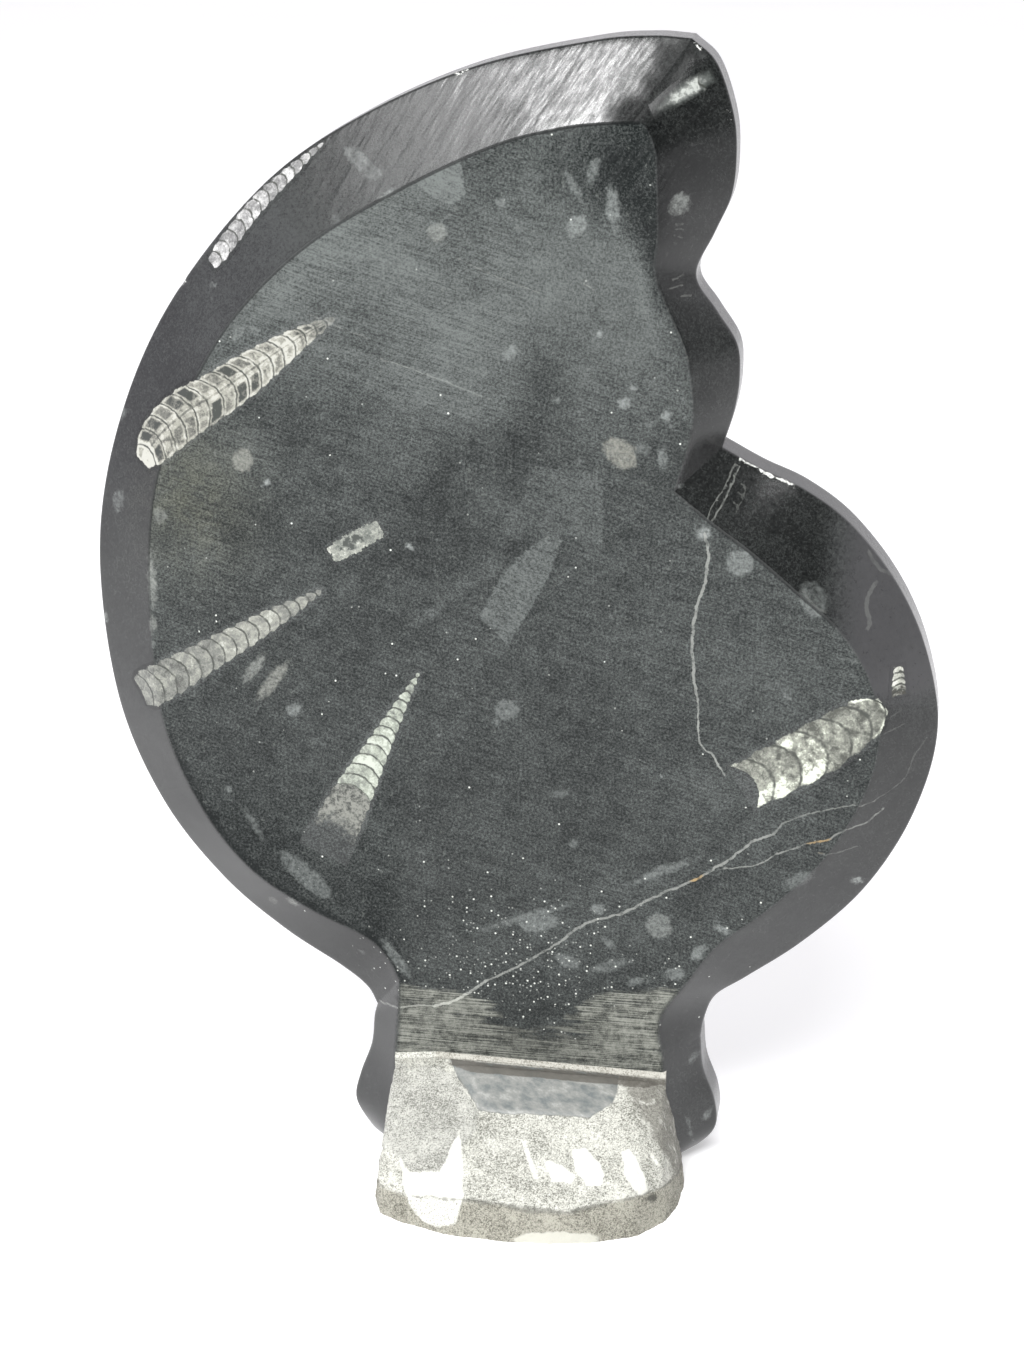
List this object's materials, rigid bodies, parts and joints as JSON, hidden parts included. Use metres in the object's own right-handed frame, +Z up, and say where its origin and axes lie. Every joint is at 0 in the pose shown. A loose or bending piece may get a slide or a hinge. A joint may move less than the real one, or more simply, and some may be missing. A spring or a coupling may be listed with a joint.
{
  "type": "orthoceras fossil",
  "caption": "Free-standing polished slab of black limestone with straight cone-shaped fossil shells flush in its face, on a rough stone foot.",
  "frame": {"origin": "on the surface the stone stands on, below the middle of its bounding box", "axes": "+Z up, the polished face looks along -Y, +X to the right seen from the front"},
  "size_m": [0.232, 0.0892, 0.3175],
  "materials": {
    "limestone": "polished dark limestone with grey blotches and calcite veins; the foot is rough broken stone, pale grey and stippled",
    "shell_calcite": "polished pale grey-green calcite with thin dark chamber walls"
  },
  "bodies": {
    "root": {"stone": "limestone", "orthoceras_rim": "shell_calcite", "orthoceras_upper_left": "shell_calcite", "orthoceras_left": "shell_calcite", "orthoceras_lower": "shell_calcite", "orthoceras_right": "shell_calcite", "orthoceras_small_right": "shell_calcite", "orthoceras_tip": "shell_calcite", "orthoceras_fragment": "shell_calcite"}
  },
  "joints": []
}
